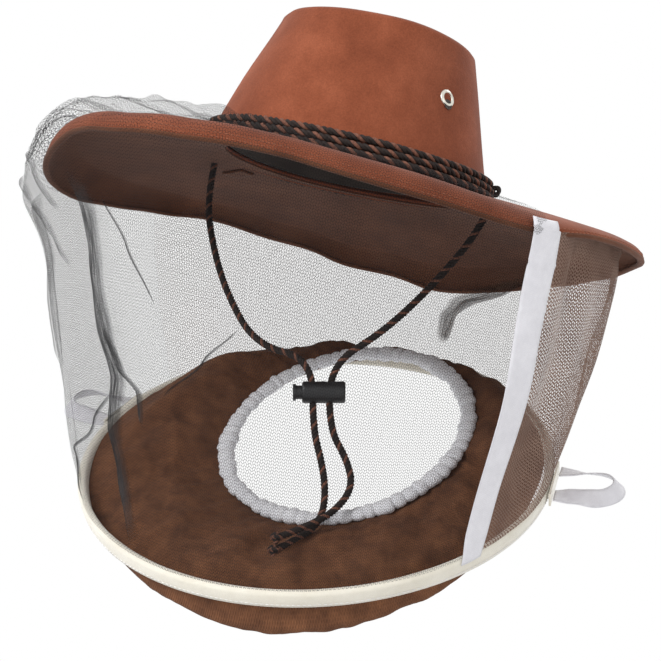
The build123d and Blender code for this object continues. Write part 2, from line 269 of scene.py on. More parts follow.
class Maker:
    """Builds one procedural material."""

    def __init__(self, name, roughness=0.8, **sockets):
        self.material = bpy.data.materials.new(name)
        self.material.use_nodes = True
        self.tree = self.material.node_tree
        self.shader = self.tree.nodes["Principled BSDF"]
        self.shader.inputs["Roughness"].default_value = roughness
        for socket, value in sockets.items():
            self.shader.inputs[socket.replace("_", " ")].default_value = value

    def node(self, kind, inputs=None, **settings):
        node = self.tree.nodes.new("ShaderNode" + kind)
        for key, value in settings.items():
            setattr(node, key, value)
        for key, value in (inputs or {}).items():
            if isinstance(value, bpy.types.NodeSocket):
                self.tree.links.new(value, node.inputs[key])
            else:
                node.inputs[key].default_value = value
        return node

    def math(self, operation, a, b=0.0):
        return self.node("Math", {0: a, 1: b}, operation=operation).outputs[0]

    def attribute(self, name):
        return self.node("Attribute", attribute_name=name).outputs["Fac"]

    def noise(self, scale, detail=4.0, rough=0.6):
        place = self.node("TexCoord").outputs["Object"]
        inputs = {"Vector": place, "Scale": scale, "Detail": detail, "Roughness": rough}
        return self.node("TexNoise", inputs).outputs["Fac"]

    def ramp(self, value, stops):
        """Colours along a value, from (position, colour) stops."""
        node = self.node("ValToRGB", {"Fac": value})
        for end in (0, -1):
            node.color_ramp.elements[end].position = stops[end][0]
            node.color_ramp.elements[end].color = (*stops[end][1], 1)
        for position, colour in stops[1:-1]:
            node.color_ramp.elements.new(position).color = (*colour, 1)
        return node.outputs["Color"]

    def shaded(self, share, colour, shade):
        """A colour multiplied by a shade, to the given share."""
        inputs = {0: share, 6: colour, 7: shade}
        return self.node("Mix", inputs, data_type="RGBA", blend_type="MULTIPLY").outputs[2]

    def into(self, name, socket):
        self.tree.links.new(socket, self.shader.inputs[name])

    def colour(self, socket):
        self.into("Base Color", socket)

    def bump(self, height, strength, distance):
        bump = self.node("Bump", {"Height": height, "Strength": strength, "Distance": distance})
        self.into("Normal", bump.outputs["Normal"])

    def metres(self):
        return self.node("UVMap", uv_map="metres").outputs[0]

    def uv(self):
        split = self.node("SeparateXYZ", {0: self.metres()})
        return split.outputs[0], split.outputs[1]

    def weave(self, pitch):
        """The height of a plain weave of the given pitch."""
        u, v = self.uv()
        waves = [self.math("SINE", self.math("MULTIPLY", c, TAU / pitch)) for c in (u, v)]
        return self.math("MULTIPLY", *waves)


def suede(name, dark, mid, light):
    """Napped felt: large soft patches under fine fibres."""
    m = Maker(name, 0.92, Sheen_Weight=0.08, Sheen_Roughness=0.5, Specular_IOR_Level=0.15)
    patches = m.ramp(m.noise(26, 5), [(0.3, dark), (0.52, mid), (0.72, light)])
    nap = m.noise(900, 6)
    fibres = m.ramp(nap, [(0.32, (0.72, 0.70, 0.68)), (0.68, (1.12, 1.12, 1.12))])
    m.colour(m.shaded(0.75, patches, fibres))
    m.bump(m.math("ADD", nap, m.noise(160, 3)), 0.35, 0.6 * MM)
    return m.material


def net_material(name, thread, colour, tint):
    """An open mesh: threads in two directions, clear between them, and thicker where the net is slack."""
    m = Maker(name, 0.8, Specular_IOR_Level=0.05)
    u, v = m.uv()
    thicker = m.math("ADD", m.math("MULTIPLY", m.attribute("slack"), SLACK_GAIN), 1.0)
    width = m.math("MULTIPLY", thicker, thread / 2)
    threads = []
    for a, b in ((u, v), (v, u)):
        wave = m.math("SINE", m.math("MULTIPLY", b, pi / MESH_CELL))
        bent = m.math("ADD", a, m.math("MULTIPLY", wave, MESH_BEND * MESH_CELL))
        threads.append(m.math("LESS_THAN", m.math("PINGPONG", bent, MESH_CELL / 2), width))
    m.into("Alpha", m.math("MAXIMUM", *threads))
    m.colour(m.ramp(m.noise(30, 3), [(0.3, colour), (0.7, tint)]))
    return m.material


def cloth_material(name, pitch, dark, light, roughness=0.85, bump=0.4 * MM, sheen=0.2, patch=30, crumple=0):
    """A plain weave of the given pitch; crumple is the scale of its creases."""
    m = Maker(name, roughness, Sheen_Weight=sheen, Specular_IOR_Level=0.3)
    patches = m.ramp(m.noise(patch, 7, rough=0.72), [(0.32, dark), (0.68, light)])
    height = m.weave(pitch)
    level = m.math("ADD", m.math("MULTIPLY", height, 0.5), 0.5)
    shade = m.ramp(level, [(0.0, (0.7, 0.7, 0.7)), (1.0, (1.1, 1.1, 1.1))])
    m.colour(m.shaded(0.8, patches, shade))
    if crumple:
        height = m.math("ADD", height, m.math("MULTIPLY", m.noise(crumple, 5), 6.0))
    m.bump(height, 0.6, bump)
    return m.material


def fibre_material(name, dark, light):
    """Cord and thread: fine fibres."""
    m = Maker(name, 0.8, Specular_IOR_Level=0.3)
    fibres = m.noise(700, 4)
    m.colour(m.ramp(fibres, [(0.35, dark), (0.65, light)]))
    m.bump(fibres, 0.4, 0.3 * MM)
    return m.material


def hard_material(name, colour, worn, roughness, metallic=0.0):
    """Metal or plastic, lightly worn."""
    m = Maker(name, roughness, Metallic=metallic)
    grain = m.noise(300, 5)
    m.colour(m.ramp(grain, [(0.35, colour), (0.75, worn)]))
    m.bump(grain, 0.15, 0.2 * MM)
    return m.material


def fold_material(name, dark, light, cover):
    """Bunched net: long streaks, dense in the middle and thin at the edges."""
    m = Maker(name, 0.85, Specular_IOR_Level=0.05)
    stretch = m.node("Mapping", {"Vector": m.metres(), "Scale": (900, 45, 1)})
    streaks = m.node("TexNoise", {"Vector": stretch.outputs[0], "Scale": 1.0, "Detail": 3})
    layers = m.ramp(streaks.outputs["Fac"], [(0.30, (0.55, 0.55, 0.55)), (0.60, (1, 1, 1))])
    m.into("Alpha", m.math("MULTIPLY", m.math("MULTIPLY", m.attribute("soft_edge"), cover), layers))
    m.colour(m.ramp(m.noise(60, 3), [(0.3, dark), (0.7, light)]))
    return m.material


SUEDE = suede("suede", (0.165, 0.042, 0.018), (0.215, 0.058, 0.026), (0.27, 0.078, 0.037))
# The suede's brown darkened with painted shade, for the brim's lining, hem and cord patches.
SHADED_UNDER_FELT = suede("shaded_under_felt", (0.085, 0.030, 0.014), (0.115, 0.042, 0.020), (0.145, 0.055, 0.027))
BLACK_NET = net_material("black_net", 0.175 * MM, (0.012, 0.012, 0.013), (0.022, 0.021, 0.022))
BROWN_NET = net_material("brown_net", 0.22 * MM, (0.15, 0.095, 0.075), (0.24, 0.16, 0.125))
YOKE_CLOTH = cloth_material(
    "yoke_cloth", 1.3 * MM, (0.085, 0.032, 0.014), (0.21, 0.085, 0.037),
    roughness=0.9, bump=0.7 * MM, sheen=0.0, patch=55, crumple=75)
WHITE_TAPE = cloth_material(
    "white_tape", 0.9 * MM, (0.70, 0.69, 0.73), (0.82, 0.81, 0.85),
    roughness=0.5, bump=0.2 * MM, sheen=0.4, patch=60)
CASING_TAPE = cloth_material(
    "casing_tape", 0.8 * MM, (0.74, 0.69, 0.58), (0.86, 0.82, 0.72),
    roughness=0.42, bump=0.2 * MM, sheen=0.5, patch=40)
RUFFLE_CLOTH = cloth_material(
    "ruffle_cloth", 1.1 * MM, (0.72, 0.72, 0.76), (0.86, 0.86, 0.89),
    roughness=0.7, bump=0.3 * MM, sheen=0.3, patch=90)
DARK_ROPE = fibre_material("dark_rope", (0.010, 0.007, 0.006), (0.030, 0.020, 0.017))
BROWN_ROPE = fibre_material("brown_rope", (0.10, 0.040, 0.025), (0.20, 0.085, 0.055))
BLACK_ELASTIC = fibre_material("black_elastic", (0.010, 0.010, 0.010), (0.028, 0.027, 0.027))
BROWN_THREAD = fibre_material("brown_thread", (0.20, 0.07, 0.035), (0.30, 0.11, 0.06))
WHITE_THREAD = fibre_material("white_thread", (0.68, 0.67, 0.66), (0.85, 0.84, 0.82))
SWEATBAND = cloth_material("sweatband", 1.0 * MM, (0.03, 0.022, 0.018), (0.055, 0.042, 0.034))
METAL = hard_material("eyelet_metal", (0.62, 0.60, 0.52), (0.78, 0.76, 0.68), 0.32, 1.0)
STEEL = hard_material("steel_wire", (0.40, 0.40, 0.41), (0.55, 0.55, 0.56), 0.35, 1.0)
PLASTIC = hard_material("black_plastic", (0.010, 0.010, 0.011), (0.022, 0.022, 0.024), 0.45)
# Dark brown cloth in the eyelets: painted shade for their holes.
EYELET_HOLE_SHADE = cloth_material("eyelet_hole_shade", 0.8 * MM, (0.03, 0.02, 0.015), (0.06, 0.04, 0.03))
BLACK_FOLD = fold_material("black_fold", (0.018, 0.018, 0.019), (0.034, 0.033, 0.034), 0.97)
SOFT_FOLD = fold_material("soft_fold", (0.018, 0.018, 0.019), (0.034, 0.033, 0.034), 0.5)
BROWN_FOLD = fold_material("brown_fold", (0.075, 0.045, 0.030), (0.11, 0.065, 0.042), 0.95)


# ---- camera, light and background -----------------------------

def make_camera():
    """Sets the camera up and returns its directions: right, up and back."""
    az, el, roll = (radians(a) for a in (CAMERA_AZIMUTH, CAMERA_ELEVATION, CAMERA_ROLL))
    back = Vector((sin(az) * cos(el), -cos(az) * cos(el), sin(el)))
    level = Vector((cos(az), sin(az), 0))
    up = back.cross(level)
    right = level * cos(roll) + up * sin(roll)
    top = up * cos(roll) - level * sin(roll)
    data = bpy.data.cameras.new("camera")
    data.lens = CAMERA_LENS
    data.sensor_width = 36
    data.clip_end = 50
    camera = new_object("camera", data)
    place = Matrix((right, top, back)).transposed().to_4x4()
    place.translation = CAMERA_TARGET + back * CAMERA_DISTANCE
    camera.matrix_world = place
    scene.camera = camera
    return right, top, back


CAMERA_RIGHT, CAMERA_UP, CAMERA_BACK = make_camera()


LIGHT_TARGET = Vector((0, 0, -0.12))


def area_light(name, direction, distance, size, power):
    """A round light that points at the middle of the hat and veil."""
    data = bpy.data.lights.new(name, "AREA")
    data.shape = "DISK"
    data.size = size
    data.energy = power
    light = new_object(name, data)
    light.location = LIGHT_TARGET + direction.normalized() * distance
    light.rotation_euler = direction.to_track_quat("Z", "Y").to_euler()


area_light("key", -CAMERA_RIGHT * 1.1 + CAMERA_UP * 1.0 + CAMERA_BACK * 1.0, distance=2.0, size=0.9, power=30)
area_light("fill", CAMERA_RIGHT * 0.9 + CAMERA_UP * 0.2 + CAMERA_BACK * 1.2, distance=2.4, size=1.4, power=3)
area_light("rim", CAMERA_RIGHT * 0.6 + CAMERA_UP * 0.9 - CAMERA_BACK * 1.0, distance=2.2, size=1.0, power=10)


def make_stage():
    """A white surround, and enough see-through layers for the nets."""
    world = bpy.data.worlds.new("studio")
    world.use_nodes = True
    background = world.node_tree.nodes["Background"]
    background.inputs["Color"].default_value = (1, 1, 1, 1)
    background.inputs["Strength"].default_value = 1.0
    scene.world = world
    scene.view_settings.view_transform = "Standard"
    scene.cycles.transparent_max_bounces = 24


make_stage()


# ---- cords ----------------------------------------------------

def beside_lock(across, down, forward):
    """A point near the cord lock, in millimetres along its barrel, down the plumb line and forwards."""
    ahead = PLUMB.cross(LOCK_AXIS).normalized()
    return LOCK_CENTRE + (LOCK_AXIS * across + PLUMB * down + ahead * forward) * MM


LEFT_ROUTE = [
    (109, 13.7, -17), (104, 12, -36), (86, 3, -72), (62, -12, -112),
    beside_lock(5.5, -18, 0), beside_lock(5.5, 24, 0), beside_lock(17, 44, 3),
    beside_lock(21, 62, 8), beside_lock(9, 77, 20), beside_lock(-10, 86, 35),
    beside_lock(-26, 91, 48),
]
RIGHT_ROUTE = [
    (-110.5, -13.5, -7), (-107, -18, -32), (-90, -25, -62), (-62, -33, -98), (-22, -39, -134),
    beside_lock(-5.5, -22, 0), beside_lock(-5.5, 24, 0), beside_lock(1, 48, 3),
    beside_lock(3, 67, 7), beside_lock(0, 83, 17), beside_lock(-13, 93, 33),
    beside_lock(-28, 99, 48),
]


def spline_points(route):
    """The points of the smooth line that a route controls."""
    curve = bpy.data.curves.new("route", "CURVE")
    curve.dimensions = "3D"
    curve.resolution_u = 16
    spline = curve.splines.new("NURBS")
    spline.points.add(len(route) - 1)
    for point, place in zip(spline.points, route):
        place = place if isinstance(place, Vector) else Vector(place) * MM
        point.co = (*place, 1)
    spline.order_u = 3
    spline.use_endpoint_u = True
    holder = new_object("route", curve)
    bpy.context.view_layer.update()
    mesh = bpy.data.meshes.new_from_object(holder)
    points = [v.co.copy() for v in mesh.vertices]
    bpy.data.objects.remove(holder)
    return points


def even_points(points, step):
    """Points at even distances along a line."""
    lengths = [0.0]
    for a, b in zip(points, points[1:]):
        lengths.append(lengths[-1] + (b - a).length)
    count = max(2, round(lengths[-1] / step))
    out, i = [], 0
    for n in range(count + 1):
        at = lengths[-1] * n / count
        while i < len(points) - 2 and lengths[i + 1] < at:
            i += 1
        t = (at - lengths[i]) / max(lengths[i + 1] - lengths[i], 1e-9)
        out.append(points[i].lerp(points[i + 1], min(1.0, t)))
    return out, lengths[-1]


def twisted(name, line, strand_r, offset, pitch, materials, closed=False):
    """A rope: one strand for each material, twisted round a line of even points."""
    count, sides = len(line), 7
    spans = count if closed else count - 1
    frames = []
    normal = None
    for i, p in enumerate(line):
        after = line[(i + 1) % count] if closed or i < count - 1 else p
        before = line[i - 1] if closed or i > 0 else p
        along = (after - before).normalized()
        if normal is None:
            normal = along.orthogonal().normalized()
        normal = (normal - along * normal.dot(along)).normalized()
        frames.append((p, normal.copy(), along.cross(normal)))
    turns = (line[1] - line[0]).length * spans / pitch
    turns = round(turns) if closed else turns
    strands = []
    for s, material in enumerate(materials):
        rows = []
        for i, (p, a, b) in enumerate(frames):
            spin = TAU * (turns * i / spans + s / len(materials))
            rows.append(circle(p + (a * cos(spin) + b * sin(spin)) * offset, a, b, strand_r, sides))
        strands.append(grid(f"{name}_{s}", rows, material, ring=True, tube=closed))
    return joined(name, strands)


def chin_cord(name, route, tip):
    """One side of the chin cord, from under the brim through the lock to its knot."""
    line, length = even_points(spline_points(route), CORD_STEP)
    rope = twisted(name + "_rope", line, strand_r=1.32 * MM, offset=1.18 * MM, pitch=10 * MM,
                   materials=[DARK_ROPE, DARK_ROPE, BROWN_ROPE, DARK_ROPE])
    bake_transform(rope)
    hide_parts(name)
    end = knot(tip, line[-1], (line[-1] - line[-4]).normalized())


def knot(name, place, direction):
    """A small overhand knot at the end of a cord."""
    side = direction.orthogonal().normalized()
    other = direction.cross(side)
    line, count = [], 120
    for i in range(count):
        t = TAU * i / count
        x = (sin(t) + 2 * sin(2 * t)) * 0.85 * MM
        y = (cos(t) - 2 * cos(2 * t)) * 0.85 * MM
        z = -sin(3 * t) * 1.5 * MM
        line.append(place + side * x + other * y + direction * (z + 3.2 * MM))
    rope = twisted(name + "_knot", line, strand_r=0.95 * MM, offset=0.75 * MM, pitch=7 * MM,
                   materials=[DARK_ROPE, BROWN_ROPE, DARK_ROPE], closed=True)
    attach(rope, "veil_hoop")
    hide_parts(name)
    return rope


chin_cord("chin_cord_left", LEFT_ROUTE, "cord_tip_left")
chin_cord("chin_cord_right", RIGHT_ROUTE, "cord_tip_right")


# ---- crown ----------------------------------------------------

def dip(angle):
    """How far the hat's foot sits below its plane, lowest at the front left."""
    return -HAT_DIP * (0.5 + 0.5 * cos(radians(angle - DIP_ANGLE))) ** 1.5


def crown_radius(z, angle=0.0):
    """The crown's outside radius: a straight taper, wider at the front right of its foot."""
    share = z / CROWN_HEIGHT
    wide = 7.0 * MM * towards(angle, -52) * max(0.0, 1 - 0.6 * share)
    wide += 3.5 * MM * towards(angle, 115) * max(0.0, share)
    return mix(CROWN_BASE_R + 2.6 * MM, CROWN_TOP_R - 1.2 * MM, share) + wide


def crown_point(angle, z):
    """A point on the side of the crown, pinched at both front corners and drooping at its back left."""
    a = radians(angle)
    droop = 5 * MM * towards(angle, 125) ** 2 * smooth(z / CROWN_HEIGHT)
    ripple = 0.8 * MM * wobble(sin(a) * 1.3, cos(a) * 1.3, z * 14)
    pinch = 0.0
    for corner in (-38, 38):
        pinch += 2.2 * MM * bell(off_by(angle, corner) / 17) * smooth((z - 40 * MM) / (50 * MM))
    low = dip(angle) * (1 - smooth(z / CROWN_HEIGHT / 0.8))
    return around(crown_radius(z, angle) + ripple - pinch, angle, z - droop + low)


# The side's heights, then the rolled rim and dented top as (inset, height), in millimetres
SIDE_HEIGHTS = [-3.5, 0, 3, 8, 15, 24, 34, 44, 54, 63, 71, 78, 83, 86.5, 88.8]
TOP_SECTION = [
    (0.6, 90.8), (2.2, 92.5), (4.5, 93.4), (8.0, 93.5), (12.5, 92.2), (18, 89.2), (25, 85.8),
    (33, 83.6), (42, 82.6), (52, 82.2), (60, 82.0), (65.4, 82.0),
]
TOP_REACH = 65.5
TOP_LEVEL = 86.5


def crown_felt():
    """The side, the rolled rim and the dented top, one piece of felt."""
    angles = full_turn(180)
    rows = [[crown_point(angle, h * MM) for angle in angles] for h in SIDE_HEIGHTS]
    brow = SIDE_HEIGHTS[-1]
    for inset, h in TOP_SECTION:
        row = []
        inner = max(0.004, 1 - inset / TOP_REACH)
        dented = smooth((inset - 8) / 20)
        for angle in angles:
            crease = 2.5 * MM * dented * cos(2 * radians(angle)) * (1 - smooth((inset - 30) / 30))
            edge = crown_point(angle, brow * MM)
            level = mix(edge.z, TOP_LEVEL * MM, smooth(inset / 50))
            row.append(Vector((edge.x * inner, edge.y * inner, level + (h - brow) * MM + crease)))
        rows.append(row)
    felt = grid("crown_felt", rows, SUEDE, ring=True)
    thicken(felt, CROWN_FELT)
    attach(felt, "hat")
    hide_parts("crown_wall", "crown_top")


crown_felt()


def shaded_eyelet_hole(side):
    """A dark brown disc behind one eyelet: painted shade for the hole through the crown."""
    place = crown_point(EYELET_ANGLE * side, EYELET_Z)
    out = Vector((place.x, place.y, 0)).normalized()
    normal = (out + Vector((0, 0, CROWN_SLOPE))).normalized()
    across = normal.orthogonal().normalized()
    up = normal.cross(across)
    centre = place + normal * 0.7 * MM
    rows = [circle(centre, across, up, r * MM, 24) for r in (0.05, 1.2, 2.4, 3.55)]
    disc = grid("shaded_eyelet_hole_" + ("left" if side > 0 else "right"), rows, EYELET_HOLE_SHADE, ring=True)
    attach(disc, "hat")


for side in (1, -1):
    shaded_eyelet_hole(side)


# ---- brim -----------------------------------------------------

def hang_at(angle):
    """The brim's hang at its shoulder and rim at an angle from the front."""
    shoulder = rim = weight = 0.0
    for at, a, b in BRIM_HANG:
        w = bell(off_by(angle, at) / HANG_SPREAD) + 1e-9
        shoulder += w * a
        rim += w * b
        weight += w
    return shoulder / weight, rim / weight


HANGS = [hang_at(degree) for degree in range(361)]


def brim_section(angle, share):
    """The brim's radius and height, in millimetres, at a share of the way to its rim."""
    turn = angle % 360
    low, high = HANGS[int(turn)], HANGS[int(turn) + 1]
    shoulder, rim = (mix(low[k], high[k], turn % 1) for k in (0, 1))
    at = max(0.0, min(1.0, share)) * (len(BRIM_RADII) - 1)
    i = min(int(at), len(BRIM_RADII) - 2)
    r = mix(BRIM_RADII[i], BRIM_RADII[i + 1], at - i)
    foot = 1.3 * dip(angle) / MM
    flat_run, curl_run = SHOULDER_R - CROWN_FOOT_R, BRIM_RADII[-1] - SHOULDER_R
    t = min(1.0, max(0.0, (r - CROWN_FOOT_R) / flat_run))
    z = mix(foot, -shoulder, 0.75 * t + 0.25 * t * t)
    if r > SHOULDER_R:
        slope = (-shoulder - foot) * 1.25 / flat_run
        past = (r - SHOULDER_R) / curl_run
        curl = 1 - sqrt(max(0.0, 1 - past * past))
        z += slope * (r - SHOULDER_R) + (shoulder - rim - slope * curl_run) * curl
    return r, z


def brim_shape(angle, share, lift=0.0):
    """A point on the brim's top, raised along its normal by lift."""
    r, z = brim_section(angle, share)
    r0, z0 = brim_section(angle, share - 0.02)
    r1, z1 = brim_section(angle, share + 0.02)
    long = hypot(r1 - r0, z1 - z0)
    normal = (-(z1 - z0) / long, (r1 - r0) / long)
    a = radians(angle)
    wave = 0.6 * MM * smooth((r - 90) / 100) * wobble(sin(a) * 1.1, cos(a) * 1.1, 3.0)
    return around(r * MM + normal[0] * lift, angle, z * MM + normal[1] * lift + wave)


def brim_pieces():
    """The brim's felt, its lining and the rolled hem round its edge."""
    angles, shares, sides = full_turn(240), 57, 10
    sheets = []
    # The lining sheet takes the felt darkened with painted shade.
    for name, depth, material in (("brim_felt", 0.0, SUEDE), ("brim_under", LINING_DEPTH, SHADED_UNDER_FELT)):
        rows = [[brim_shape(angle, i / shares, -depth) for angle in angles] for i in range(shares + 1)]
        sheets.append(grid(name, rows, material, ring=True))
    felt, lining = sheets
    thicken(felt, BRIM_FELT, 1.0)
    thicken(lining, LINING_THICKNESS, 1.0)
    edge = []
    for k in reversed(range(sides)):
        w = TAU * k / sides
        wide, high = 2.5 * MM * cos(w), 1.7 * MM * sin(w) - 0.4 * MM
        edge.append([brim_shape(angle, 1.0, -1.5 * MM) + around(wide, angle, high) for angle in angles])
    # The hem takes the felt darkened with painted shade.
    hem = grid("brim_hem", edge, SHADED_UNDER_FELT, ring=True, tube=True)
    for piece, node, slot in ((felt, "brim", "suede"), (lining, "brim_lining", "lining"),
                              (hem, "brim_binding", "lining")):
        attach(piece, "hat")
        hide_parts(node)


brim_pieces()


# The section of a stitch: (place along it, lift, size)
STITCH = [(-0.5, -0.6, 0.5), (-0.3, 0.35, 1.0), (0.3, 0.35, 1.0), (0.5, -0.6, 0.5)]


def stitches(name, place, count, length, radius, material, body):
    """Short raised stitches: place(share) gives a stitch's middle, direction and normal."""
    points, faces, sides = [], [], 5
    for n in range(count):
        middle, along, out = place((n + 0.5) / count)
        across = along.cross(out)
        for t, lift, size in STITCH:
            for k in range(sides):
                w = TAU * k / sides
                points.append(middle + along * length * t + out * radius * (lift + size * sin(w))
                              + across * radius * size * cos(w))
        first = n * len(STITCH) * sides
        last = first + (len(STITCH) - 1) * sides
        for i in range(len(STITCH) - 1):
            for k in range(sides):
                m = (k + 1) % sides
                a = first + i * sides
                faces.append((a + k, a + m, a + sides + m, a + sides + k))
        faces.append(tuple(first + k for k in reversed(range(sides))))
        faces.append(tuple(last + k for k in range(sides)))
    mesh = bpy.data.meshes.new(name)
    mesh.from_pydata(points, [], faces)
    mesh.materials.append(material)
    smooth_shade(mesh)
    piece = new_object(name, mesh)
    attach(piece, body)


def brim_stitch_line(share):
    """A line of stitches round the top of the brim."""
    lift = 0.05 * MM

    def place(turn):
        angle = 360 * turn
        here = brim_shape(angle, share, lift)
        along = (brim_shape(angle + 0.5, share, lift) - here).normalized()
        slope = (brim_shape(angle, share + 0.02, lift) - here).normalized()
        return here, along, slope.cross(along)

    return place


for where, share, count in (("outer", 0.955, 330), ("inner", 0.88, 320)):
    stitches("brim_stitches_" + where, brim_stitch_line(share), count, 2.6 * MM, 0.3 * MM,
             BROWN_THREAD, "hat")


def cord_tab(side):
    """The small felt patch that holds one end of the chin cord under the brim."""
    middle = 83 if side == "left" else -97
    places = [i / 4 - 1 for i in range(9)]
    rows = []
    for i in places:
        row = []
        for j in places:
            corner = max(0.0, abs(i) + abs(j) - 1.55)
            row.append(brim_shape(middle + 3.6 * j, 0.195 + 0.045 * i, (-3.3 + 0.8 * corner) * MM))
        rows.append(row)
    # The patch takes the felt darkened with painted shade.
    patch = grid("cord_patch_" + side, rows, SHADED_UNDER_FELT)
    thicken(patch, 1.6 * MM, 1.0)
    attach(patch, "hat")
    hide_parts("cord_tab_" + side)


for side in ("left", "right"):
    cord_tab(side)


# ---- hat band -------------------------------------------------

BAND_ROPE_R = 3.0 * MM


def hat_band():
    """Three twisted ropes, one above the other."""
    for i, node in enumerate(("band_rope_lower", "band_rope_middle", "band_rope_upper")):
        z = (0.9 + 5.1 * i) * MM
        line, count = [], 760
        for j in range(count):
            angle = 360 * j / count
            height = z + dip(angle) + 0.5 * MM * wobble(j / 60, i, 0)
            line.append(around(crown_radius(z, angle) + BAND_ROPE_R, angle, height))
        rope = twisted(f"band_{i}", line, strand_r=1.45 * MM, offset=1.15 * MM, pitch=13 * MM,
                       materials=[DARK_ROPE, BROWN_ROPE, DARK_ROPE], closed=True)
        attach(rope, "hat")
        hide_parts(node)


hat_band()


def band_knot():
    """The wrapped end of the band's ropes."""
    centre = around(CROWN_BASE_R + 7.2 * MM, 125, 1 * MM)
    out = Vector((centre.x, centre.y, 0)).normalized()
    along = Vector((0, 0, 1)).cross(out)
    line, count, turns = [], 200, 5
    for i in range(count):
        t = i / (count - 1)
        spin = TAU * turns * t
        wide = 2.6 * MM * sin(pi * (0.12 + 0.76 * t))
        across = out * cos(spin) + Vector((0, 0, 1.2)) * sin(spin)
        line.append(centre + along * mix(-3.2, 3.2, t) * MM + across * wide)
    rope = twisted("band_wrap", line, strand_r=0.75 * MM, offset=0.5 * MM, pitch=5 * MM,
                   materials=[DARK_ROPE, DARK_ROPE])
    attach(rope, "hat")
    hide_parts("band_knot")


band_knot()


def gathered_elastic():
    """The net's top edge, gathered on an elastic at the foot of the crown."""
    steps, sides, rows = 720, 10, []
    for k in reversed(range(sides)):
        w = TAU * k / sides
        row = []
        for j in range(steps):
            angle = 360 * j / steps
            pleat = 0.35 * sin(TAU * j / 6 + 2 * wobble(j / 9, 0, 0)) + 0.25 * wobble(j / 4, k / 3, 1)
            size = 1.55 * MM * (1 + pleat * (0.6 + 0.4 * cos(w)))
            r = crown_radius(0, angle) + BAND_ROPE_R
            z = 1.15 * dip(angle) + size * sin(w) - 2.6 * MM
            row.append(around(r + size * cos(w), angle, z))
        rows.append(row)
    elastic = grid("gathered_elastic", rows, BLACK_ELASTIC, ring=True, tube=True)
    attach(elastic, "hat")
    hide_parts("net_top_elastic")


gathered_elastic()


# ---- nets -----------------------------------------------------

def veil_point(angle, down, lift=0.0):
    """A point on the hanging net: 0 at the brim, 1 at the casing, with soft folds."""
    top = brim_shape(angle, 1.0, 3.4 * MM)
    turn = (angle - TAPE_BRIM_ANGLE) % 360
    if turn < BACK_SWEEP:
        under = brim_shape(angle, SHOULDER_SHARE, -4.5 * MM)
        top = top.lerp(under, smooth(min(turn - 2, BACK_SWEEP - turn) / 16))
    low = hoop.point(HOOP_R + 2.6 * MM, angle - HOOP_LAG, CASING_HEIGHT / 2 - 4 * MM)
    p = top.lerp(low, down)
    a = radians(angle)
    out = around(1, angle, 0)
    right_side = smooth((cos(a + radians(42)) - 0.74) / 0.24)
    belly = 12 * MM * right_side * bell((down - 0.08) / 0.12)
    sway = 3 * MM * sin(pi * down)
    ends = smooth(down / 0.12) * smooth((1 - down) / 0.10)
    folds = sin(a * 11 + 2.2 * wobble(sin(a), cos(a), down * 1.5) + 1.2 * down)
    folds += 0.7 * sin(a * 23 + 3.0 * wobble(cos(a) * 2, sin(a) * 2, down * 2, 4.0))
    soft = 2.4 * MM * folds * ends * (1 - 0.35 * down)
    crease = 3.2 * MM * ends * wobble(sin(a) * 4, cos(a) * 4, down * 3.2, 7.0)
    return p + out * (belly + sway + soft + crease + lift)


def over_brim(angle, share):
    """A point of the front net where it lies in wrinkles over the brim."""
    a = radians(angle)
    right_side = smooth((cos(a + radians(30)) - 0.45) / 0.4)
    near_edge = smooth((share - 0.35) / 0.4)
    height = (1.6 + 6.0 * right_side * near_edge + 1.2 * near_edge) * MM
    wrinkle = abs(wobble(sin(a) * 7, cos(a) * 7, share * 3, 2.0))
    wrinkle += 0.7 * abs(wobble(sin(a) * 19, cos(a) * 19, share * 6, 5.0))
    height += wrinkle * MM * (2.5 + 4.5 * right_side) * smooth(share / 0.2)
    return brim_shape(angle, mix(0.10, 1.0, share), height)


NET_COLUMNS = 261
NET_ROWS = 64
BRIM_ROWS = 26


def net_angles(first, last):
    """The angles of a net's columns."""
    return [mix(first, last, j / (NET_COLUMNS - 1)) for j in range(NET_COLUMNS)]


def net_rows(angles, with_brim):
    """A net's points and each row's share of the way down to the casing, 0 over the brim; with_brim also
    covers the top of the brim.
    """
    rows, weights = [], []
    if with_brim:
        for i in range(BRIM_ROWS):
            rows.append([over_brim(angle, i / BRIM_ROWS) for angle in angles])
            weights.append(0.0)
    for i in range(NET_ROWS + 1):
        down = i / NET_ROWS
        row = []
        for angle in angles:
            p = veil_point(angle, down)
            if with_brim and down < 0.08:
                edge = over_brim(angle, 1.0) + around(1, angle, 0) * 1.5 * MM
                p = edge.lerp(p, smooth(down / 0.08))
            row.append(p)
        rows.append(row)
        weights.append(down)
    return rows, weights


def front_slack(angle):
    """How slack the front net is: bunched at the wearer's right."""
    return 0.5 * smooth((angle + 95) / 20) * smooth((-38 - angle) / 14)


def back_slack(angle):
    """How slack the back net is: bunched behind the side tape."""
    return 1.7 * smooth((-218 - angle) / 14)


def set_points(obj, name, values):
    """Gives a mesh one number for each point."""
    obj.data.attributes.new(name, "FLOAT", "POINT").data.foreach_set("value", values)


def bend_by_row(obj):
    """Bakes a piece's placement into its mesh."""
    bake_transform(obj)


def nets():
    """The front net with the part that covers the brim, and the back net."""
    angles = net_angles(TAPE_BRIM_ANGLE, RIGHT_SEAM_ANGLE)
    rows, weights = net_rows(angles, True)
    front = grid("front_veil", rows, BLACK_NET)
    set_points(front, "slack", [front_slack(angle) for angle in angles] * len(rows))
    bend_by_row(front)
    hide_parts("front_net", "brim_net")
    angles = net_angles(RIGHT_SEAM_ANGLE, TAPE_BRIM_ANGLE - 360)
    rows, weights = net_rows(angles, False)
    back = grid("back_veil", rows, BROWN_NET)
    set_points(back, "slack", [back_slack(angle) for angle in angles] * len(rows))
    bend_by_row(back)
    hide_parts("back_net")


nets()


